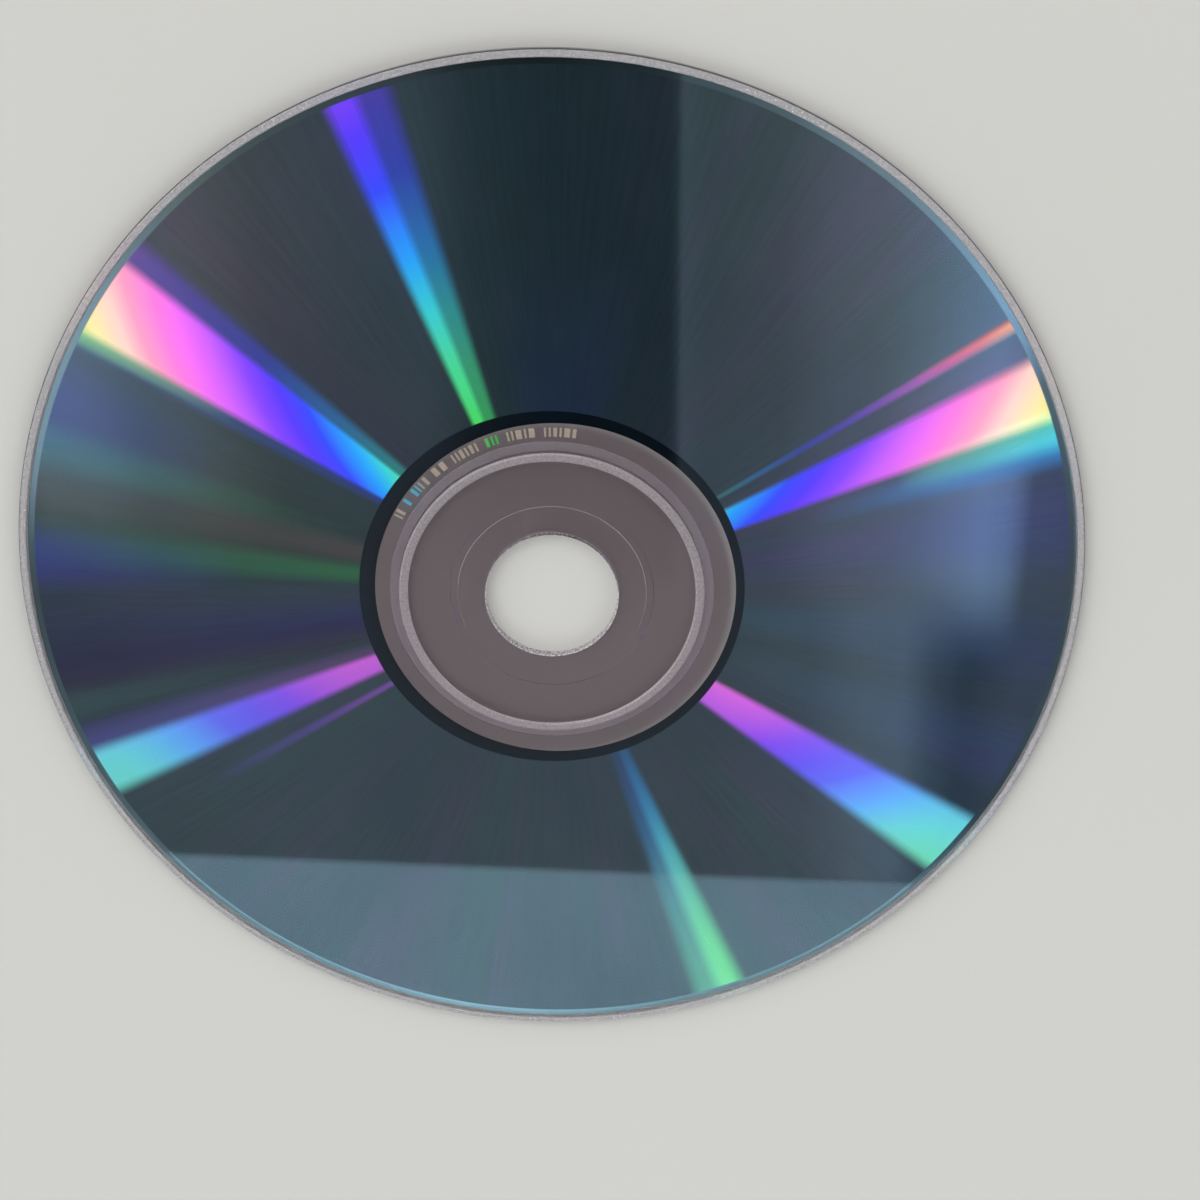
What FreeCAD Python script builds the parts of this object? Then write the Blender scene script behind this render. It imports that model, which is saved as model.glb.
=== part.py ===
import FreeCAD, Part
import os

import Sketcher

# A recordable compact disc, 120 mm across, lying on its label side with the read side up.
# Millimetres. The origin is on the hole's axis at the lowest face, +Z out of the read side.

SIZES = {
    # The clear moulding. The thickness is that of the whole disc, film included.
    "disc_diameter": 120.0,
    "disc_thickness": 1.2,
    "hole_diameter": 15.0,
    "rim_chamfer": 0.15,
    "hole_chamfer": 0.1,
    # The raised ridge on the read side that keeps stacked discs apart.
    "ridge_inner_radius": 16.3,
    "ridge_outer_radius": 17.3,
    "ridge_height": 0.2,
    "ridge_flank_width": 0.2,
    "ridge_rounding": 0.06,
    # The groove in the label side where the mould's stamper was clamped. It starts under the
    # ridge's outer foot.
    "clamp_groove_width": 1.15,
    "clamp_groove_depth": 0.16,
    "clamp_groove_flank_width": 0.12,
    # The shallow ring in the label side that the mould's ejector sleeve leaves.
    "sleeve_ring_inner_radius": 10.7,
    "sleeve_ring_width": 0.9,
    "sleeve_ring_depth": 0.05,
    "sleeve_ring_flank_width": 0.05,
    # The film on the label side. Its inner edge is a little off the disc's axis.
    "film_thickness": 0.02,
    "film_inner_radius": 20.5,
    "film_inner_edge_shift": 0.4,
    "film_rim_margin": 0.9,
}

# Lengths closer than this count as the same.
TOLERANCE = 1e-6

# The label face and the read face of the moulding, as heights.
LABEL_FACE = "Sizes.film_thickness"
READ_FACE = "Sizes.disc_thickness"


def make_sheet(doc):
    """The sheet that every size is read from, one alias a row."""
    sheet = doc.addObject("Spreadsheet::Sheet", "Sizes")
    for row, (alias, size) in enumerate(SIZES.items(), start=1):
        sheet.set(f"A{row}", alias)
        sheet.set(f"B{row}", str(size))
        sheet.setAlias(f"B{row}", alias)
    doc.recompute()
    return sheet


def make_body(doc, label):
    """An empty body whose Label names its sub-part."""
    body = doc.addObject("PartDesign::Body", label)
    body.Label = label
    return body


def make_sketch(body, name, role):
    """A sketch on the one of the body's own origin planes that has this role."""
    sketch = body.newObject("Sketcher::SketchObject", name)
    plane = next(part for part in body.Origin.OriginFeatures if part.Role == role)
    sketch.AttachmentSupport = [(plane, "")]
    sketch.MapMode = "FlatFace"
    return sketch


def draw_section(sketch, corners):
    """A closed four-sided outline. Each corner is an expression for its radius and its height."""
    # A rough square, which the bound distances then pull to the true corners.
    rough = [FreeCAD.Vector(x, y, 0) for x, y in ((1, 1), (2, 1), (2, 2), (1, 2))]
    for side in range(4):
        sketch.addGeometry(Part.LineSegment(rough[side], rough[(side + 1) % 4]))
    for side in range(4):
        sketch.addConstraint(Sketcher.Constraint("Coincident", side, 2, (side + 1) % 4, 1))
    for side, corner in enumerate(corners):
        lengths = (rough[side].x, rough[side].y)
        for kind, length, expression in zip(("DistanceX", "DistanceY"), lengths, corner):
            bound = Sketcher.Constraint(kind, -1, 1, side, 1, length)
            number = sketch.addConstraint(bound)
            sketch.setExpression(f"Constraints[{number}]", expression)


def turn_section(body, name, kind, corners):
    """A section in the XZ plane, turned once round the disc's axis to add or to cut away."""
    before = body.Shape.Volume if body.Tip else 0.0
    sketch = make_sketch(body, f"{name}_section", "XZ_Plane")
    draw_section(sketch, corners)
    feature = body.newObject(f"PartDesign::{kind}", name)
    feature.Profile = sketch
    feature.ReferenceAxis = (sketch, ["V_Axis"])
    feature.Angle = 360.0
    body.Document.recompute()
    change = body.Shape.Volume - before
    if (change < 0) != (kind == "Groove") or abs(change) < TOLERANCE:
        raise RuntimeError(f"{name} changed the volume by {change}")
    return feature


def ring_section(inner, width, flank, foot, crest):
    """The section of a ring with sloping flanks, widest at its foot."""
    return [
        (inner, foot),
        (f"{inner} + {width}", foot),
        (f"{inner} + {width} - {flank}", crest),
        (f"{inner} + {flank}", crest),
    ]


def circles_at(shape, places):
    """The names of the shape's circular edges at these pairs of radius and height."""
    names = []
    for number, edge in enumerate(shape.Edges, start=1):
        if not isinstance(edge.Curve, Part.Circle):
            continue
        for radius, height in places:
            radius_off = abs(edge.Curve.Radius - radius)
            height_off = abs(edge.Curve.Center.z - height)
            if radius_off < TOLERANCE and height_off < TOLERANCE:
                names.append(f"Edge{number}")
    if len(names) != len(places):
        raise RuntimeError(f"{len(places)} edges wanted, {len(names)} found")
    return names


def break_edges(body, name, kind, size_property, alias, places):
    """A chamfer or a fillet of one size on the circular edges at these places."""
    base = body.Tip
    edges = circles_at(base.Shape, places)
    feature = body.newObject(f"PartDesign::{kind}", name)
    feature.Base = (base, edges)
    feature.setExpression(size_property, f"Sizes.{alias}")
    body.Document.recompute()


def make_substrate(doc, sheet):
    """The clear moulding: a flat ring with a ridge on its read side and two rings cut below."""
    body = make_body(doc, "substrate")
    turn_section(body, "blank", "Revolution", [
        ("Sizes.hole_diameter / 2", LABEL_FACE),
        ("Sizes.disc_diameter / 2", LABEL_FACE),
        ("Sizes.disc_diameter / 2", READ_FACE),
        ("Sizes.hole_diameter / 2", READ_FACE),
    ])
    heights = (sheet.film_thickness, sheet.disc_thickness)
    rim = [(sheet.disc_diameter / 2, height) for height in heights]
    hole = [(sheet.hole_diameter / 2, height) for height in heights]
    break_edges(body, "rim_edges", "Chamfer", "Size", "rim_chamfer", rim)
    break_edges(body, "hole_edges", "Chamfer", "Size", "hole_chamfer", hole)

    turn_section(body, "stacking_ridge", "Revolution", ring_section(
        "Sizes.ridge_inner_radius",
        "(Sizes.ridge_outer_radius - Sizes.ridge_inner_radius)",
        "Sizes.ridge_flank_width",
        READ_FACE,
        f"{READ_FACE} + Sizes.ridge_height",
    ))
    crest_height = sheet.disc_thickness + sheet.ridge_height
    crest = [
        (sheet.ridge_inner_radius + sheet.ridge_flank_width, crest_height),
        (sheet.ridge_outer_radius - sheet.ridge_flank_width, crest_height),
    ]
    break_edges(body, "ridge_crest", "Fillet", "Radius", "ridge_rounding", crest)

    turn_section(body, "clamp_groove", "Groove", ring_section(
        "Sizes.ridge_outer_radius",
        "Sizes.clamp_groove_width",
        "Sizes.clamp_groove_flank_width",
        LABEL_FACE,
        f"{LABEL_FACE} + Sizes.clamp_groove_depth",
    ))
    turn_section(body, "sleeve_ring", "Groove", ring_section(
        "Sizes.sleeve_ring_inner_radius",
        "Sizes.sleeve_ring_width",
        "Sizes.sleeve_ring_flank_width",
        LABEL_FACE,
        f"{LABEL_FACE} + Sizes.sleeve_ring_depth",
    ))
    return body


def make_film(doc):
    """The dye and mirror film under the moulding, from near the hub to near the rim."""
    body = make_body(doc, "recording_film")
    sketch = make_sketch(body, "film_outline", "XY_Plane")
    centre = FreeCAD.Vector(0, 0, 0)
    upward = FreeCAD.Vector(0, 0, 1)
    # Rough circles, which the bound radii and the bound shift then make true.
    outer = sketch.addGeometry(Part.Circle(centre, upward, 2.0))
    inner = sketch.addGeometry(Part.Circle(centre, upward, 1.0))
    sketch.addConstraint(Sketcher.Constraint("Coincident", outer, 3, -1, 1))
    sketch.addConstraint(Sketcher.Constraint("PointOnObject", inner, 3, -1))
    outer_size = sketch.addConstraint(Sketcher.Constraint("Radius", outer, 2.0))
    inner_size = sketch.addConstraint(Sketcher.Constraint("Radius", inner, 1.0))
    shift = sketch.addConstraint(Sketcher.Constraint("DistanceX", -1, 1, inner, 3, 0.1))
    bindings = {
        outer_size: "Sizes.disc_diameter / 2 - Sizes.film_rim_margin",
        inner_size: "Sizes.film_inner_radius",
        shift: "Sizes.film_inner_edge_shift",
    }
    for number, expression in bindings.items():
        sketch.setExpression(f"Constraints[{number}]", expression)
    film = body.newObject("PartDesign::Pad", "film")
    film.Profile = sketch
    film.setExpression("Length", "Sizes.film_thickness")
    doc.recompute()
    return body


def check(doc, bodies):
    """Stops the build if an object failed, or a sub-part's shape is missing or not valid."""
    for thing in doc.Objects:
        if "Invalid" in thing.State or "Error" in thing.State:
            raise RuntimeError(f"{thing.Name} failed: {thing.State}")
    for body in bodies:
        if body.Shape.isNull() or not body.Shape.isValid():
            raise RuntimeError(f"{body.Label} has no valid shape")


def main():
    doc = FreeCAD.newDocument("compact_disc")
    sheet = make_sheet(doc)
    bodies = [make_substrate(doc, sheet), make_film(doc)]
    doc.recompute()
    check(doc, bodies)
    os.makedirs("parts", exist_ok=True)
    for body in bodies:
        body.Shape.exportStep(os.path.join("parts", f"{body.Label}.step"))
        print(body.Label, round(body.Shape.Volume, 3), "mm3", body.Shape.BoundBox)


main()
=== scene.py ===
import math
import random

import bmesh
import bpy
from mathutils import Matrix, Vector


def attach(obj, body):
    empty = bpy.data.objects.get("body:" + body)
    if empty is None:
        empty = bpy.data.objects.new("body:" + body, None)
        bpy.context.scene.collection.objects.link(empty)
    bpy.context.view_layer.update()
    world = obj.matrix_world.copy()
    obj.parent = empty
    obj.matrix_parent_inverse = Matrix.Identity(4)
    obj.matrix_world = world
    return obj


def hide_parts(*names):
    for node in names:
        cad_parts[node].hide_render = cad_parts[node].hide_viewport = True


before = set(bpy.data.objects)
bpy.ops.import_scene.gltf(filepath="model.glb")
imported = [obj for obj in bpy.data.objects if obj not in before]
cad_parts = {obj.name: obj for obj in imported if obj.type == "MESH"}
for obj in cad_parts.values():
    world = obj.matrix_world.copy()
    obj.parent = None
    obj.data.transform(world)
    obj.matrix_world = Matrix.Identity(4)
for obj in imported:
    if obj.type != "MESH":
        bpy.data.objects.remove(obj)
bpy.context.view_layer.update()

# A recordable compact disc lying on its label side, its read side up. Lengths are in metres,
# and the disc's own sizes below are in millimetres.
MM = 0.001

# The moulding, as radii and heights in millimetres.
HOLE_RADIUS = 7.5
DISC_RADIUS = 60.0
LABEL_FACE = 0.02
READ_FACE = 1.2
RIM_CHAMFER = 0.15
HOLE_CHAMFER = 0.1
RIDGE_INNER, RIDGE_OUTER, RIDGE_HEIGHT, RIDGE_FLANK = 16.3, 17.3, 0.2, 0.2
CLAMP_OUTER, CLAMP_DEPTH, CLAMP_FLANK = 18.45, 0.16, 0.12
SLEEVE_INNER, SLEEVE_OUTER, SLEEVE_DEPTH, SLEEVE_FLANK = 10.7, 11.6, 0.05, 0.05
CORNER_ROUNDING = 0.03
CORNER_STEPS = 3
# A corner's rounding takes up no more than this share of a side.
CORNER_SHARE = 0.4
STEPS_AROUND = 512

# The film. Its top is let into the moulding by a hair, so that no air shows between them.
FILM_INNER, FILM_OUTER, FILM_SHIFT = 20.5, 59.1, 0.4
FILM_LET_IN = 0.005
LACQUER_THICKNESS = 0.01

# The row of moulded code strokes in the hub, just above the label face. Angles are in degrees,
# anticlockwise from +X.
STROKES_INNER, STROKES_OUTER = 18.95, 20.0
STROKES_START, STROKES_END = 81.0, 152.0
STROKE_HEIGHTS = (0.04, 0.055)
STROKE_WIDTHS = (0.7, 0.7, 1.2, 1.9)
STROKE_GAPS = (0.8, 0.8, 1.3, 3.0)
STROKE_SEED = 7

# The grooved band that splits light, between two plain mirror bands.
GROOVES_START, GROOVES_END = 21.9, 58.4

# The photograph's camera, fitted to the disc's outline: a turn about each axis, then a place.
CAMERA_TURN = (-0.439, 0.009, -0.006)
CAMERA_PLACE = (0.00729, 0.08611, 0.18556)
CAMERA_LENS = 53.88
SENSOR_WIDTH = 36.0
CAMERA_CLIP = (0.01, 20.0)

# The sky's brightness by the sine of the height above the horizon, and the soft key light: its
# direction, and the cosines between which it fades in.
SKY_LEVELS = ((0.0, 0.75), (0.55, 0.75), (0.68, 0.5), (0.79, 0.125), (1.0, 0.125))
SKY_SCALE = 1.6
KEY_DIRECTION = (-0.6, 0.65, 0.6)
KEY_EDGES = (0.82, 0.95)
KEY_STRENGTH = 0.9
# The plain light panel low behind the camera: its sides along the ceiling, its tilt, its
# brightness, and the factors on its red, green and blue.
PANEL_SIDES, PANEL_TILT, PANEL_LEVEL = (-2.2, -0.668), 0.0545, 0.42
PANEL_TINT = (1.10, 1.35, 1.41, 1.0)
PANEL_EDGE = 0.006
# The ceiling from left to right, over the far half of the disc and over the near half: the place
# across, the factor on the brightness, and how warm the light is there. Cool light is below 0.
# Full warmth changes red, green and blue by the shares given first.
WARMTH = (0.25, 0.02, -0.30)
CEILING_REACH = 0.5
FAR_CEILING = [
    (-0.50, 1.05, 0.0),
    (-0.38, 1.20, 0.0),
    (-0.34, 4.00, -0.2),
    (-0.31, 3.80, -0.2),
    (-0.28, 2.70, 0.0),
    (-0.24, 2.10, 0.4),
    (-0.20, 1.30, 0.4),
    (-0.17, 1.20, 0.2),
    (-0.11, 0.95, 0.0),
    (-0.08, 0.36, 0.0),
    (-0.04, 0.16, 0.0),
    (0.034, 0.13, 0.0),
    (0.039, 1.25, -0.1),
    (0.055, 1.08, 0.0),
    (0.095, 1.30, 0.1),
    (0.130, 2.10, 0.0),
    (0.155, 2.50, 0.0),
    (0.180, 3.30, -0.3),
    (0.205, 4.60, -0.7),
    (0.222, 5.40, -0.9),
    (0.236, 4.60, -0.9),
    (0.250, 1.60, -0.4),
    (0.30, 1.10, 0.0),
    (0.50, 1.05, 0.0),
]
NEAR_CEILING = [
    (-0.50, 1.15, 0.0),
    (-0.32, 1.12, 0.1),
    (-0.22, 1.32, 0.0),
    (-0.10, 1.18, 0.0),
    (0.00, 1.28, 0.0),
    (0.06, 1.20, 0.1),
    (0.09, 1.36, 0.0),
    (0.12, 1.50, 0.0),
    (0.155, 2.40, -0.1),
    (0.180, 2.50, -0.3),
    (0.200, 1.20, -0.5),
    (0.219, 0.60, -0.6),
    (0.250, 1.00, -0.5),
    (0.50, 0.95, 0.0),
]
# The heights along the ceiling between which the near half gives way to the far half, and how
# much that line slants.
CEILING_CHANGE = (-0.49, -0.42)
CEILING_SLANT = 0.12
# Below these heights on the sky there is no ceiling, only plain light.
CEILING_START = (0.60, 0.72)
# The least height on the sky that the flat ceiling is worked out for.
LOWEST_UP = 0.05

# The floor lies a hair below the disc, so that the two faces don't fight.
FLOOR_SIDE = 6.0
FLOOR_GAP = 0.02
FLOOR_ROUGHNESS = 0.6

# The part of a noise's range in which nearly all of it lies.
NOISE_RANGE = (0.3, 0.7)


class Graph:
    """Adds nodes to a material or a world. An input is a number, a colour, or a socket.

    The helpers return the new node's output, except node, which returns the node itself.
    """

    def __init__(self, owner):
        owner.use_nodes = True
        self.owner = owner
        self.tree = owner.node_tree
        self.tree.nodes.clear()

    def put(self, socket, value):
        if isinstance(value, bpy.types.NodeSocket):
            self.tree.links.new(value, socket)
        else:
            socket.default_value = value

    def node(self, kind, *values, **settings):
        made = self.tree.nodes.new(kind)
        for name, setting in settings.items():
            setattr(made, name, setting)
        for socket, value in zip(made.inputs, values):
            self.put(socket, value)
        return made

    def maths(self, operation, *values, clamp=False):
        return self.node("ShaderNodeMath", *values, operation=operation, use_clamp=clamp).outputs[0]

    def between(self, value, low, high, to_low=0.0, to_high=1.0, smooth=True):
        """The value's place between low and high, as a number from to_low to to_high.

        Low may be above high, and the number then falls as the value rises.
        """
        kind = "SMOOTHSTEP" if smooth else "LINEAR"
        mapped = self.node(
            "ShaderNodeMapRange", value, low, high, to_low, to_high, interpolation_type=kind
        )
        return mapped.outputs["Result"]

    def step(self, value, middle, edge):
        """0 below the middle and 1 above it. A negative edge turns that round."""
        return self.between(value, middle - edge, middle + edge)

    def band(self, value, low, high, edge):
        """1 where the value lies between low and high, falling to 0 over the edge's width."""
        return self.maths("MULTIPLY", self.step(value, low, edge), self.step(value, high, -edge))

    def ramp(self, value, stops):
        """A colour for the value, from (place, colour) stops."""
        made = self.node("ShaderNodeValToRGB", value)
        elements = made.color_ramp.elements
        while len(elements) < len(stops):
            elements.new(0.5)
        for element, (place, shade) in zip(elements, stops):
            element.position = place
            element.color = shade
        return made.outputs["Color"]

    def mix(self, share, first, second):
        """The first colour where the share is 0, and the second where it is 1."""
        mixer = self.node("ShaderNodeMix", data_type="RGBA", blend_type="MIX")
        self.put(mixer.inputs[0], share)
        self.put(mixer.inputs[6], first)
        self.put(mixer.inputs[7], second)
        return mixer.outputs[2]

    def noise(self, vector, scale, detail=2.0, roughness=0.5):
        made = self.node("ShaderNodeTexNoise", noise_dimensions="3D")
        self.put(made.inputs["Vector"], vector)
        made.inputs["Scale"].default_value = scale
        made.inputs["Detail"].default_value = detail
        made.inputs["Roughness"].default_value = roughness
        return made.outputs["Fac"]

    def vectors(self, operation, *values):
        return self.node("ShaderNodeVectorMath", *values, operation=operation).outputs["Vector"]

    def vector(self, x, y, z):
        return self.node("ShaderNodeCombineXYZ", x, y, z).outputs[0]

    def bump(self, height, distance):
        made = self.node("ShaderNodeBump")
        made.inputs["Strength"].default_value = 1.0
        made.inputs["Distance"].default_value = distance
        self.put(made.inputs["Height"], height)
        return made.outputs["Normal"]

    def shader(self, **inputs):
        """The Principled shader that the surface shows. Underscores stand for spaces."""
        shader = self.node("ShaderNodeBsdfPrincipled")
        for name, value in inputs.items():
            self.put(shader.inputs[name.replace("_", " ")], value)
        output = self.node("ShaderNodeOutputMaterial")
        self.tree.links.new(shader.outputs[0], output.inputs["Surface"])
        return self.owner


def srgb(red, green, blue):
    """A colour written as 0 to 255 on screen, as the linear colour that a shader takes."""
    def linear(value):
        share = value / 255
        return share / 12.92 if share <= 0.04045 else ((share + 0.055) / 1.055) ** 2.4
    return linear(red), linear(green), linear(blue), 1.0


def new_material(name):
    return Graph(bpy.data.materials.new(name))


def polar(graph):
    """The surface point, its radius in millimetres, its angle in degrees and its height."""
    point = graph.node("ShaderNodeTexCoord").outputs["Object"]
    x, y, z = graph.node("ShaderNodeSeparateXYZ", point).outputs
    flat = graph.node("ShaderNodeVectorMath", graph.vector(x, y, 0.0), operation="LENGTH")
    radius = graph.maths("MULTIPLY", flat.outputs["Value"], 1 / MM)
    angle = graph.maths("DEGREES", graph.maths("ARCTAN2", y, x))
    height = graph.maths("MULTIPLY", z, 1 / MM)
    return point, radius, angle, height


def outward_shares(graph, point, radius):
    """The point's x and y as shares of its radius."""
    axes = graph.node("ShaderNodeSeparateXYZ", point)
    sides = [graph.maths("MULTIPLY", axis, 1 / MM) for axis in axes.outputs[:2]]
    return [graph.maths("DIVIDE", side, radius) for side in sides]


def shade_around(graph, angle, rows):
    """A colour that changes round the disc, from rows of an angle and a red, green and blue."""
    turn = graph.between(angle, FIRST_ANGLE, FIRST_ANGLE + FULL_TURN, smooth=False)
    return graph.ramp(turn, [((at - FIRST_ANGLE) / FULL_TURN, (*shade, 1.0)) for at, shade in rows])


# The order of colours along a streak of split light. Past the yellow it starts again at green,
# and the last stop is the red of the narrow streak's outer end.
SPECTRUM = [
    (0.00, srgb(70, 225, 100)),
    (0.10, srgb(70, 222, 160)),
    (0.18, srgb(50, 210, 215)),
    (0.26, srgb(20, 165, 255)),
    (0.36, srgb(45, 70, 255)),
    (0.44, srgb(85, 50, 255)),
    (0.52, srgb(135, 62, 255)),
    (0.60, srgb(200, 92, 246)),
    (0.66, srgb(235, 105, 246)),
    (0.73, srgb(255, 125, 220)),
    (0.80, srgb(255, 160, 195)),
    (0.86, srgb(255, 215, 200)),
    (0.92, srgb(255, 238, 170)),
    (1.00, srgb(220, 245, 120)),
    (1.08, srgb(125, 240, 150)),
    (1.18, srgb(80, 215, 205)),
    (1.24, srgb(255, 95, 45)),
]
SPECTRUM_END = 1.25

# The streaks of split light are painted highlights, fixed on the film, and they also glow.
# Each streak: its middle and half width in degrees, the softness of its sides, its place in the
# spectrum at the first and the last groove, the change of place for each degree across it, and
# its strength at the first and the last groove. Below 0 there is no light, so a streak that
# starts below 0 starts further out. Angles run through one turn from the first angle, which no
# streak touches.
FIRST_ANGLE = 60.0
FULL_TURN = 360.0
PAINTED_STREAKS = [
    # the bright streaks
    (24.1, 3.5, 0.9, 0.28, 0.91, -0.018, 0.90, 0.96),
    (32.0, 0.6, 0.4, 0.16, 0.88, 0.0, 0.14, 0.40),
    (32.3, 0.5, 0.4, 1.25, 1.25, 0.0, -0.85, 0.44),
    (110.3, 1.5, 1.0, 0.00, 0.49, 0.0, 0.90, 0.92),
    (143.2, 4.4, 0.8, 0.21, 0.87, 0.020, 0.95, 0.98),
    (203.1, 2.9, 1.1, 0.64, 0.17, -0.006, 0.62, 0.80),
    (291.4, 1.4, 1.2, 0.26, 0.06, 0.0, 0.14, 0.90),
    (324.8, 4.1, 1.1, 0.64, 0.16, 0.011, 0.72, 0.90),
    # the dimmer wings beside them
    (19.2, 1.8, 1.3, 1.00, 1.17, 0.0, -0.75, 0.72),
    (17.4, 1.7, 1.5, 0.27, 0.27, 0.0, -0.12, 0.40),
    (107.1, 1.8, 1.1, 0.02, 0.46, 0.0, 0.40, 0.34),
    (86.0, 12.0, 6.0, 0.38, 0.38, 0.0, 0.022, -0.02),
    (137.4, 1.4, 1.1, 0.16, 0.54, 0.0, 0.26, 0.22),
    (148.6, 1.0, 1.0, 0.36, 0.30, 0.0, 0.14, 0.10),
    (148.2, 0.8, 0.8, 1.00, 1.06, 0.0, -0.45, 0.45),
    (198.9, 1.8, 1.7, 0.62, 0.46, 0.0, 0.06, 0.14),
    (211.0, 0.8, 0.6, 0.58, 0.36, 0.0, 0.26, -0.10),
    (288.8, 1.6, 1.3, 0.30, 0.12, 0.0, 0.06, 0.38),
    # the broad dim bands
    (9.0, 5.0, 4.0, 0.42, 0.38, 0.0, 0.02, 0.05),
    (338.0, 4.0, 3.5, 0.16, 0.42, 0.0, 0.01, 0.05),
    (352.0, 4.0, 3.5, 0.20, 0.40, 0.0, 0.03, 0.03),
    (157.0, 5.0, 4.5, 0.40, 0.40, 0.0, -0.09, 0.12),
    (161.5, 2.2, 1.8, 0.08, 0.12, 0.0, 0.00, 0.08),
    (166.0, 2.6, 2.2, 0.84, 0.84, 0.0, 0.035, -0.02),
    (173.0, 2.4, 1.8, 0.02, 0.10, 0.0, 0.10, 0.01),
    (175.0, 3.0, 2.2, 0.45, 0.45, 0.0, -0.08, 0.14),
    (187.5, 4.0, 3.0, 0.44, 0.44, 0.0, 0.03, 0.01),
    (194.0, 1.6, 1.4, 0.14, 0.14, 0.0, -0.02, 0.05),
]

# How strongly the painted streaks glow, as painted light for the light that they send one way only.
PAINTED_STREAK_GLOW = 0.66
STREAK_ROUGHNESS = 0.35
# On the near side the streaks grow paler: the places along Y, as shares of the radius, and the
# radii, between which they do, and how pale they become.
PALE_SIDE = (0.0, -0.2)
PALE_RADII = (28.0, 44.0)
PALENESS = 0.11

# The clear plastic is painted a darker mauve at the hub, as painted shade from beneath the hub,
# and scatters light where it is frosted. The ridge's frost is painted darker too, as painted shade.
# The shares say how frosted the ridge, the hole's edge and the bare band at the rim are, beside
# the groove at 1. The band's haze is painted light that lightens it. The wall at the rim is seen
# edge on as a dark line, and is painted dark for it, as painted shade.
CLEAR_HUB_SHADE = srgb(217, 208, 213)
CLEAR_RIM = srgb(252, 251, 252)
RIM_WALL_SHADE = srgb(48, 48, 51)
FROSTED = srgb(236, 227, 233)
FROSTED_RIDGE_SHADE = srgb(146, 136, 141)
RIDGE_FROST = 0.75
HOLE_FROST = 0.5
RIM_HAZE_LIGHT = 0.4
# How gradually each frosted place begins, and the heights between which the groove's frost ends.
FROST_EDGE, HOLE_FROST_EDGE, RIM_FROST_EDGE, READ_FACE_EDGE = 0.04, 0.02, 0.15, 0.01
GROOVE_FROST_HEIGHTS = (0.3, 0.2)
# The least and the most of the frost in its grain.
FROST_PATCHES = (0.7, 1.1)
# How gradually the hub's painted mauve shade gives way, and a slight unevenness of the clear faces.
HUB_EDGE = 0.6
HAZE_CLOUDS, HAZE_ROUGHNESS = 60.0, 0.012
FROST_ROUGHNESS = 0.6
FROST_CLEARNESS = 0.1
FROST_GRAIN = 3500.0
FROST_RELIEF = 0.00006
PLASTIC_IOR = 1.58

# The film where no streak crosses it: three tones of the dye, and the plain mirror bands. The outer
# band's pale blue is a painted reflection.
DYE_TEAL = srgb(88, 121, 131)
DYE_SLATE = srgb(104, 117, 142)
DYE_DEEP = srgb(86, 112, 130)
INNER_BAND = srgb(20, 48, 68)
OUTER_BAND = srgb(150, 190, 206)
BRIGHTEST_BAND = 0.9
INNER_BAND_EDGE, OUTER_BAND_EDGE = 0.05, 0.1
MIRROR_METALLIC, STREAK_METALLIC = 0.65, 0.2
DYE_ROUGHNESS = 0.01
# The dye's coarse and fine lines along the radius, how little they change along it, and its
# clouds, as noise scales.
COARSE_LINES, FINE_LINES, CHANGE_ALONG = 9.0, 110.0, 0.001
DYE_CLOUDS = 34.0
CLOUD_RANGE, FINE_RANGE, FINE_TONES = (0.35, 0.65), (0.25, 0.75), (0.93, 1.07)

# The lacquer on the label side: its two tones, its faint rings to the millimetre, and the scales
# of its clouds and its grain.
LACQUER_DARK, LACQUER_LIGHT = srgb(186, 189, 193), srgb(212, 214, 217)
LACQUER_RINGS, LACQUER_CLOUDS, LACQUER_GRAIN = 2.2, 40.0, 2600.0
LACQUER_RING_TONES = (0.94, 1.03)
LACQUER_ROUGHNESS = (0.24, 0.32)
LACQUER_METALLIC, LACQUER_COAT = 0.9, 0.4
LACQUER_RELIEF = 0.000004

# The moulded code strokes: two pale tones, and the angles at which painted split light colours
# them.
STROKE_DARK, STROKE_LIGHT = srgb(214, 200, 176), srgb(250, 240, 222)
STROKE_GREEN, GREEN_ANGLES = srgb(90, 255, 120), (104.0, 111.0)
STROKE_CYAN, CYAN_ANGLES = srgb(110, 235, 255), (137.5, 146.0)
STROKE_COLOUR_EDGE = 1.5
STROKE_GRAIN = 4000.0
STROKE_ROUGHNESS = (0.35, 0.5)
# A painted glow on the strokes.
PAINTED_STROKE_GLOW = 0.18

FLOOR_DARK, FLOOR_LIGHT = srgb(210, 208, 203), srgb(217, 215, 210)
FLOOR_CLOUDS = 6.0

# How bright the painted reflection on the outer plain band is round the disc, by the angle.
BAND_REFLECTION_AROUND = [
    (60.0, 0.90),
    (75.0, 0.50),
    (90.0, 0.18),
    (100.0, 0.25),
    (125.0, 0.55),
    (142.0, 0.95),
    (165.0, 0.80),
    (180.0, 0.45),
    (195.0, 0.60),
    (225.0, 0.90),
    (242.0, 1.05),
    (255.0, 1.50),
    (265.0, 1.45),
    (285.0, 0.85),
    (318.0, 0.80),
    (331.0, 0.30),
    (345.0, 0.45),
    (360.0, 0.35),
    (375.0, 0.50),
    (390.0, 0.80),
    (420.0, 0.90),
]

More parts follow.
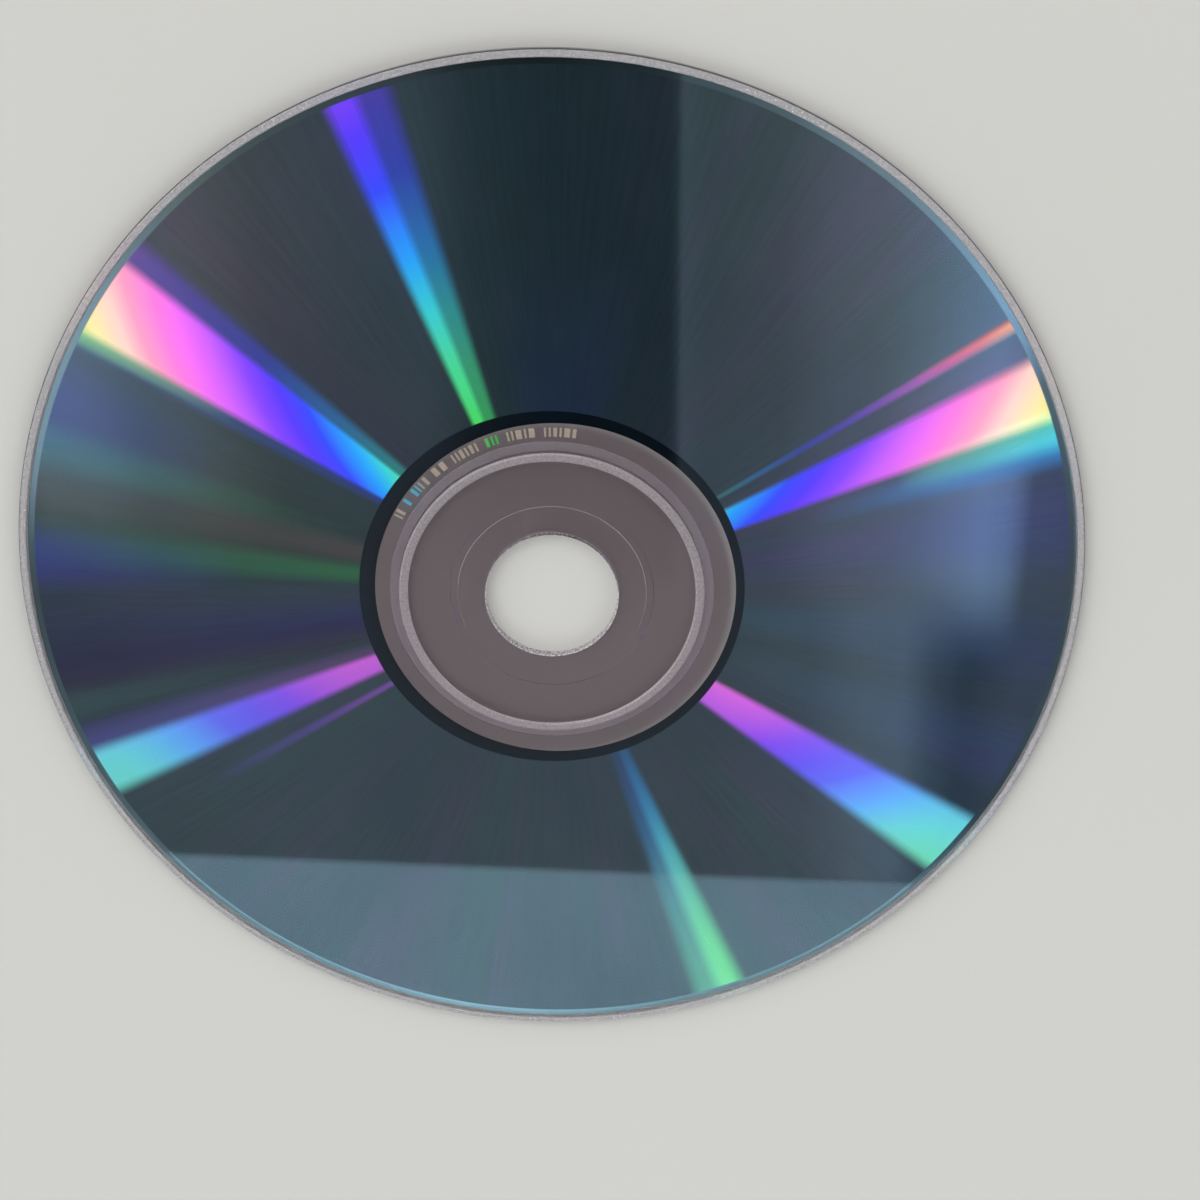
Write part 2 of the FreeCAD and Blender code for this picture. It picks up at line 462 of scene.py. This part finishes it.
# Painted reflection and shade on the film round the disc, as factors on its red, green and blue by
# the angle.
REFLECTION_SHADE_AROUND = [
    (60.0, (1.0, 1.0, 1.0)),
    (95.0, (0.85, 1.0, 0.95)),
    (122.0, (0.9, 0.92, 0.92)),
    (134.0, (0.95, 0.8, 0.85)),
    (152.0, (0.80, 0.95, 0.82)),
    (162.0, (0.66, 0.80, 0.66)),
    (168.0, (0.90, 0.78, 0.62)),
    (174.0, (0.58, 0.88, 0.62)),
    (180.0, (0.75, 0.85, 0.95)),
    (184.0, (0.62, 0.66, 0.90)),
    (188.5, (0.44, 0.42, 0.64)),
    (193.0, (0.72, 0.58, 0.72)),
    (199.0, (0.95, 0.95, 0.95)),
    (210.0, (1.0, 1.0, 1.0)),
    (352.0, (1.0, 1.0, 1.0)),
    (368.0, (1.1, 0.95, 1.1)),
    (420.0, (1.0, 1.0, 1.0)),
]


def add_streak(graph, outward, eased, angle, light, share, streak):
    """Adds one streak to the split light, and to the share of the film that streaks cover."""
    middle, half, soft, first, last, slant, weak, strong = streak
    if middle < FIRST_ANGLE:
        middle += FULL_TURN
    away = graph.maths("SUBTRACT", angle, middle)
    across = graph.between(graph.maths("ABSOLUTE", away), half + soft, half - soft)
    along = graph.maths("MULTIPLY_ADD", outward, strong - weak, weak)
    strength = graph.maths("MULTIPLY", across, along, clamp=True)
    # A streak that goes back through the spectrum lingers at its ends.
    course = outward if last > first else eased
    place = graph.maths("MULTIPLY_ADD", course, (last - first) / SPECTRUM_END, first / SPECTRUM_END)
    if slant:
        place = graph.maths("MULTIPLY_ADD", away, slant / SPECTRUM_END, place)
    colour = graph.ramp(place, [(stop / SPECTRUM_END, shade) for stop, shade in SPECTRUM])
    light = graph.vectors("MULTIPLY_ADD", colour, strength, light)
    return light, graph.maths("ADD", share, strength, clamp=True)


def split_light(graph, radius, angle, y):
    """The light of all the streaks together, and the share of the film that they cover."""
    outward = graph.between(radius, GROOVES_START, GROOVES_END, smooth=False)
    eased = graph.between(radius, GROOVES_START, GROOVES_END)
    light, share = (0.0, 0.0, 0.0), 0.0
    for streak in PAINTED_STREAKS:
        light, share = add_streak(graph, outward, eased, angle, light, share, streak)
    near = graph.between(y, *PALE_SIDE)
    pale = graph.maths("MULTIPLY", near, graph.between(radius, *PALE_RADII))
    light = graph.mix(graph.maths("MULTIPLY", pale, PALENESS), light, share)
    return graph.vectors("MINIMUM", light, (1.0, 1.0, 1.0)), share


def dye_and_shade_colour(graph, round_disc, angle, cloud):
    """The dye's colour where no streak crosses it, with painted reflection and shade round the
    disc.
    """
    fine = graph.noise(round_disc, FINE_LINES, 2.0, 0.6)
    coarse = graph.noise(round_disc, COARSE_LINES, 2.0, 0.6)
    dye = graph.mix(graph.between(coarse, *NOISE_RANGE), DYE_TEAL, DYE_SLATE)
    dye = graph.mix(graph.between(cloud, *CLOUD_RANGE), dye, DYE_DEEP)
    dye = graph.vectors("MULTIPLY", dye, graph.between(fine, *FINE_RANGE, *FINE_TONES))
    return graph.vectors("MULTIPLY", dye, shade_around(graph, angle, REFLECTION_SHADE_AROUND))


def film_material():
    """The dye and mirror: a dark tinted mirror, with painted streaks of split light laid over it,
    which also glow.
    """
    graph = new_material("recording_film")
    point, radius, angle, _ = polar(graph)
    angle = graph.maths("WRAP", angle, FIRST_ANGLE + FULL_TURN, FIRST_ANGLE)
    x, y = outward_shares(graph, point, radius)
    round_disc = graph.vector(x, y, graph.maths("MULTIPLY", radius, CHANGE_ALONG))
    cloud = graph.noise(point, DYE_CLOUDS)
    light, share = split_light(graph, radius, angle, y)
    dye = dye_and_shade_colour(graph, round_disc, angle, cloud)
    # The painted streaks of split light take the place of the dye where they cross it.
    colour = graph.vectors("ADD", graph.mix(share, dye, (0.0, 0.0, 0.0, 1.0)), light)

    # The plain mirror bands inside and outside the grooves. The outer one carries a painted
    # reflection that changes round the disc.
    levels = [(at, (grey, grey, grey)) for at, grey in BAND_REFLECTION_AROUND]
    outer_band = graph.vectors("MULTIPLY", OUTER_BAND[:3], shade_around(graph, angle, levels))
    outer_band = graph.vectors("MINIMUM", outer_band, (BRIGHTEST_BAND,) * 3)
    inside = graph.step(radius, GROOVES_START, INNER_BAND_EDGE)
    outside = graph.step(radius, GROOVES_END, OUTER_BAND_EDGE)
    colour = graph.mix(inside, INNER_BAND, graph.mix(outside, colour, outer_band))
    grooves = graph.maths("SUBTRACT", inside, outside)

    share = graph.maths("MULTIPLY", share, grooves)
    metallic = graph.between(share, 0.0, 1.0, MIRROR_METALLIC, STREAK_METALLIC, smooth=False)
    roughness = graph.between(share, 0.0, 1.0, 0.0, STREAK_ROUGHNESS, smooth=False)
    roughness = graph.maths("MULTIPLY_ADD", cloud, DYE_ROUGHNESS, roughness)
    # The painted glow is too weak to light anything, so it isn't sampled as a lamp.
    graph.owner.cycles.emission_sampling = "NONE"
    return graph.shader(
        Base_Color=colour,
        Metallic=metallic,
        Roughness=roughness,
        Emission_Color=graph.vectors("MULTIPLY", light, grooves),
        Emission_Strength=PAINTED_STREAK_GLOW,
    )


def lacquer_material():
    """The label side: plain lacquer over the back of the silver mirror, laid on while it spun."""
    graph = new_material("label_lacquer")
    point, radius, _, _ = polar(graph)
    x, y = outward_shares(graph, point, radius)
    spun = graph.vector(x, y, graph.maths("MULTIPLY", radius, LACQUER_RINGS))
    rings = graph.noise(spun, 1.0, 3.0)
    cloud = graph.noise(point, LACQUER_CLOUDS, 3.0)
    grain = graph.noise(point, LACQUER_GRAIN)
    colour = graph.mix(cloud, LACQUER_DARK, LACQUER_LIGHT)
    tone = graph.between(rings, *NOISE_RANGE, *LACQUER_RING_TONES)
    colour = graph.vectors("MULTIPLY", colour, tone)
    roughness = graph.between(cloud, *NOISE_RANGE, *LACQUER_ROUGHNESS)
    roughness = graph.maths("MULTIPLY_ADD", rings, 0.06, roughness)
    relief = graph.maths("MULTIPLY_ADD", rings, 2.0, grain)
    return graph.shader(
        Base_Color=colour,
        Metallic=LACQUER_METALLIC,
        Roughness=roughness,
        Coat_Weight=LACQUER_COAT,
        Normal=graph.bump(relief, LACQUER_RELIEF),
    )


def plastic_material():
    """Clear polycarbonate, frosted on the ridge, in the groove behind it and at the hole.

    The bare band at the rim has a faint haze, painted light that lightens it. The hub is painted a
    darker mauve and the ridge's frost darker, as painted shade, and the wall at the rim is painted
    dark, as painted shade.
    """
    graph = new_material("clear_polycarbonate")
    point, radius, _, height = polar(graph)
    above = graph.step(height, READ_FACE, READ_FACE_EDGE)
    below = graph.between(height, *GROOVE_FROST_HEIGHTS)
    ridge = graph.band(radius, RIDGE_INNER, RIDGE_OUTER, FROST_EDGE)
    ridge = graph.maths("MULTIPLY", ridge, above)
    groove = graph.band(radius, RIDGE_OUTER, CLAMP_OUTER, FROST_EDGE)
    groove = graph.maths("MULTIPLY", groove, below)
    hole = graph.step(radius, HOLE_RADIUS + HOLE_CHAMFER, -HOLE_FROST_EDGE)
    # The wall at the rim is painted dark, as painted shade for the dark line at the edge.
    wall = graph.between(radius, DISC_RADIUS - RIM_CHAMFER, DISC_RADIUS - RIM_CHAMFER / 2)
    # The bare band at the rim gets a faint haze, painted light that lightens it.
    rim = graph.between(radius, FILM_OUTER, FILM_OUTER + RIM_FROST_EDGE, 0.0, RIM_HAZE_LIGHT)
    rim = graph.maths("MULTIPLY", rim, graph.maths("SUBTRACT", 1.0, wall))
    frost = graph.maths("MAXIMUM", graph.maths("MULTIPLY", ridge, RIDGE_FROST), groove)
    frost = graph.maths("MAXIMUM", frost, graph.maths("MULTIPLY", hole, HOLE_FROST))
    frost = graph.maths("MAXIMUM", frost, rim)
    grain = graph.noise(point, FROST_GRAIN, 3.0)
    patchy = graph.between(grain, *NOISE_RANGE, *FROST_PATCHES)
    frost = graph.maths("MULTIPLY", frost, patchy, clamp=True)

    # Painted shade: the hub is painted a darker mauve, and the frosted ridge a darker grey.
    beyond_hub = graph.step(radius, FILM_INNER, HUB_EDGE)
    colour = graph.mix(beyond_hub, CLEAR_HUB_SHADE, CLEAR_RIM)
    colour = graph.mix(wall, colour, RIM_WALL_SHADE)
    colour = graph.mix(frost, colour, graph.mix(ridge, FROSTED, FROSTED_RIDGE_SHADE))
    haze = graph.noise(point, HAZE_CLOUDS)
    haze = graph.between(haze, *NOISE_RANGE, 0.0, HAZE_ROUGHNESS)
    return graph.shader(
        Base_Color=colour,
        Roughness=graph.maths("MULTIPLY_ADD", frost, FROST_ROUGHNESS, haze),
        Transmission_Weight=graph.between(frost, 0.0, 1.0, 1.0, FROST_CLEARNESS, smooth=False),
        IOR=PLASTIC_IOR,
        Normal=graph.bump(graph.maths("MULTIPLY", grain, frost), FROST_RELIEF),
    )


def strokes_material():
    """The moulded code strokes: pale, with painted split light in two places, and a painted glow.
    """
    graph = new_material("code_strokes")
    point, _, angle, _ = polar(graph)
    grain = graph.noise(point, STROKE_GRAIN)
    colour = graph.mix(grain, STROKE_DARK, STROKE_LIGHT)
    green = graph.band(angle, *GREEN_ANGLES, STROKE_COLOUR_EDGE)
    colour = graph.mix(green, colour, STROKE_GREEN)
    cyan = graph.band(angle, *CYAN_ANGLES, STROKE_COLOUR_EDGE)
    colour = graph.mix(cyan, colour, STROKE_CYAN)
    graph.owner.cycles.emission_sampling = "NONE"
    return graph.shader(
        Base_Color=colour,
        Roughness=graph.between(grain, *NOISE_RANGE, *STROKE_ROUGHNESS),
        Emission_Color=colour,
        Emission_Strength=PAINTED_STROKE_GLOW,
    )


def rounded(corners, radius, steps):
    """The closed outline with a short curve of these steps in place of each corner."""
    points = []
    for here, corner in enumerate(corners):
        corner = Vector(corner)
        sides = [Vector(corners[here - 1]), Vector(corners[(here + 1) % len(corners)])]
        reach = [min(radius, (side - corner).length * CORNER_SHARE) for side in sides]
        start, end = (corner + (s - corner).normalized() * r for s, r in zip(sides, reach))
        for step in range(steps + 1):
            share = step / steps
            points.append(
                start * (1 - share) ** 2 + corner * 2 * share * (1 - share) + end * share ** 2
            )
    return points


def ring(name, outline):
    """A closed ring from an outline of circles: radius, shift along X, and height, in mm."""
    mesh = bmesh.new()
    circles = []
    for radius, shift, height in outline:
        turns = (2 * math.pi * step / STEPS_AROUND for step in range(STEPS_AROUND))
        circles.append([
            mesh.verts.new((
                (shift + radius * math.cos(turn)) * MM,
                radius * math.sin(turn) * MM,
                height * MM,
            ))
            for turn in turns
        ])
    for here, circle in enumerate(circles):
        after = circles[(here + 1) % len(circles)]
        for step in range(STEPS_AROUND):
            following = (step + 1) % STEPS_AROUND
            mesh.faces.new((circle[step], circle[following], after[following], after[step]))
    bmesh.ops.recalc_face_normals(mesh, faces=mesh.faces)
    for face in mesh.faces:
        face.smooth = True
    # Smooth along each circle, and sharp across it.
    for circle in circles:
        for start, end in zip(circle, circle[1:] + circle[:1]):
            mesh.edges.get((start, end)).smooth = False
    return made_object(name, mesh)


def film_ring(name, bottom, top):
    """A flat ring with the film's outline, whose inner edge is a little off centre."""
    inner = (FILM_INNER, FILM_SHIFT)
    outer = (FILM_OUTER, 0.0)
    return ring(name, [(*inner, bottom), (*outer, bottom), (*outer, top), (*inner, top)])


def code_strokes():
    """Thin bars in a row round the hub, where the disc carries its moulded code."""
    mesh = bmesh.new()
    draw = random.Random(STROKE_SEED)
    angle = STROKES_START
    while angle < STROKES_END:
        width = draw.choice(STROKE_WIDTHS)
        corners = []
        for height in STROKE_HEIGHTS:
            for radius, turn in (
                (STROKES_INNER, angle),
                (STROKES_OUTER, angle),
                (STROKES_OUTER, angle + width),
                (STROKES_INNER, angle + width),
            ):
                turn = math.radians(turn)
                place = (radius * math.cos(turn), radius * math.sin(turn), height)
                corners.append(mesh.verts.new(Vector(place) * MM))
        lower, upper = corners[:4], corners[4:]
        mesh.faces.new(lower)
        mesh.faces.new(upper)
        for side in range(4):
            after = (side + 1) % 4
            mesh.faces.new((lower[side], lower[after], upper[after], upper[side]))
        angle += width + draw.choice(STROKE_GAPS)
    bmesh.ops.recalc_face_normals(mesh, faces=mesh.faces)
    return made_object("code_strokes", mesh)


def made_object(name, mesh):
    """An object in the scene from the mesh."""
    data = bpy.data.meshes.new(name)
    mesh.to_mesh(data)
    mesh.free()
    made = bpy.data.objects.new(name, data)
    bpy.context.scene.collection.objects.link(made)
    return made


def make_disc():
    """The moulding, and the film and its lacquer on the label side."""
    label, read = LABEL_FACE, READ_FACE
    outline = rounded([
        (HOLE_RADIUS + HOLE_CHAMFER, label),
        (SLEEVE_INNER, label),
        (SLEEVE_INNER + SLEEVE_FLANK, label + SLEEVE_DEPTH),
        (SLEEVE_OUTER - SLEEVE_FLANK, label + SLEEVE_DEPTH),
        (SLEEVE_OUTER, label),
        (RIDGE_OUTER, label),
        (RIDGE_OUTER + CLAMP_FLANK, label + CLAMP_DEPTH),
        (CLAMP_OUTER - CLAMP_FLANK, label + CLAMP_DEPTH),
        (CLAMP_OUTER, label),
        (DISC_RADIUS - RIM_CHAMFER, label),
        (DISC_RADIUS, label + RIM_CHAMFER),
        (DISC_RADIUS, read - RIM_CHAMFER),
        (DISC_RADIUS - RIM_CHAMFER, read),
        (RIDGE_OUTER, read),
        (RIDGE_OUTER - RIDGE_FLANK, read + RIDGE_HEIGHT),
        (RIDGE_INNER + RIDGE_FLANK, read + RIDGE_HEIGHT),
        (RIDGE_INNER, read),
        (HOLE_RADIUS + HOLE_CHAMFER, read),
        (HOLE_RADIUS, read - HOLE_CHAMFER),
        (HOLE_RADIUS, label + HOLE_CHAMFER),
    ], CORNER_ROUNDING, CORNER_STEPS)
    moulding = ring("clear_moulding", [(point.x, 0.0, point.y) for point in outline])
    moulding.data.materials.append(plastic_material())
    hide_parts("substrate")

    film = film_ring("mirror_film", LACQUER_THICKNESS, LABEL_FACE + FILM_LET_IN)
    film.data.materials.append(film_material())
    lacquer = film_ring("label_lacquer", 0.0, LACQUER_THICKNESS)
    lacquer.data.materials.append(lacquer_material())
    for piece in (film, lacquer):
        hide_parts("recording_film")
    strokes = code_strokes()
    strokes.data.materials.append(strokes_material())
    for piece in (moulding, film, lacquer, strokes):
        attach(piece, "root")


def make_floor():
    """A plain pale floor."""
    bpy.ops.mesh.primitive_plane_add(size=FLOOR_SIDE, location=(0.0, 0.0, -FLOOR_GAP * MM))
    floor = bpy.context.active_object
    floor.name = "floor"
    graph = new_material("pale_floor")
    place = graph.node("ShaderNodeTexCoord").outputs["Object"]
    colour = graph.mix(graph.noise(place, FLOOR_CLOUDS, 3.0), FLOOR_DARK, FLOOR_LIGHT)
    floor.data.materials.append(graph.shader(Base_Color=colour, Roughness=FLOOR_ROUGHNESS))


def make_world():
    """Soft studio light: bright low down and dim overhead, with a soft key from behind.

    The disc mirrors the sky that is overhead, so the light and dark areas of the ceiling and
    the panel low behind the camera are what shows in its film.
    """
    world = bpy.data.worlds.new("studio")
    # The light is soft all round, so it needs no map of its brightest parts.
    world.cycles.sampling_method = "NONE"
    bpy.context.scene.world = world
    graph = Graph(world)
    direction = graph.node("ShaderNodeTexCoord").outputs["Generated"]
    x, y, z = graph.node("ShaderNodeSeparateXYZ", direction).outputs
    level = graph.ramp(z, [(height, (grey, grey, grey, 1.0)) for height, grey in SKY_LEVELS])

    # The sky as a flat ceiling, one unit up, as the disc's mirror shows it.
    up = graph.maths("MAXIMUM", z, LOWEST_UP)
    across, along = (graph.maths("DIVIDE", side, up) for side in (x, y))
    tilted = graph.maths("MULTIPLY_ADD", across, PANEL_TILT, along)
    panel = graph.band(tilted, *PANEL_SIDES, PANEL_EDGE)
    level = graph.maths("MAXIMUM", level, graph.maths("MULTIPLY", panel, PANEL_LEVEL))
    place = graph.between(across, -CEILING_REACH, CEILING_REACH, smooth=False)
    near, far = (graph.ramp(place, ceiling_stops(half)) for half in (NEAR_CEILING, FAR_CEILING))
    change = graph.maths("MULTIPLY_ADD", across, CEILING_SLANT, along)
    ceiling = graph.mix(graph.between(change, *CEILING_CHANGE), near, far)
    ceiling = graph.mix(panel, ceiling, PANEL_TINT)
    ceiling = graph.mix(graph.between(z, *CEILING_START), (1.0, 1.0, 1.0, 1.0), ceiling)

    towards_key = graph.node("ShaderNodeVectorMath", direction, operation="DOT_PRODUCT")
    towards_key.inputs[1].default_value = Vector(KEY_DIRECTION).normalized()
    key = graph.between(towards_key.outputs["Value"], *KEY_EDGES)
    level = graph.maths("MULTIPLY_ADD", key, KEY_STRENGTH, level)
    colour = graph.vectors("MULTIPLY", ceiling, level)
    background = graph.node("ShaderNodeBackground", colour, SKY_SCALE)
    output = graph.node("ShaderNodeOutputWorld")
    graph.tree.links.new(background.outputs[0], output.inputs["Surface"])


def ceiling_stops(half):
    """The colour stops of one half of the ceiling."""
    stops = []
    for across, factor, warmth in half:
        shade = [factor * (1 + share * warmth) for share in WARMTH]
        stops.append((across / (2 * CEILING_REACH) + 0.5, (*shade, 1.0)))
    return stops


def make_camera():
    """The camera of the photograph."""
    data = bpy.data.cameras.new("camera")
    data.sensor_width = SENSOR_WIDTH
    data.lens = CAMERA_LENS
    data.clip_start, data.clip_end = CAMERA_CLIP
    camera = bpy.data.objects.new("camera", data)
    turn = Matrix.Identity(3)
    for angle, axis in zip(CAMERA_TURN, "XYZ"):
        turn = turn @ Matrix.Rotation(angle, 3, axis)
    camera.matrix_world = Matrix.Translation(CAMERA_PLACE) @ turn.to_4x4()
    bpy.context.scene.collection.objects.link(camera)
    bpy.context.scene.camera = camera


make_camera()
make_world()
make_floor()
make_disc()
bpy.context.scene.view_settings.view_transform = "Standard"
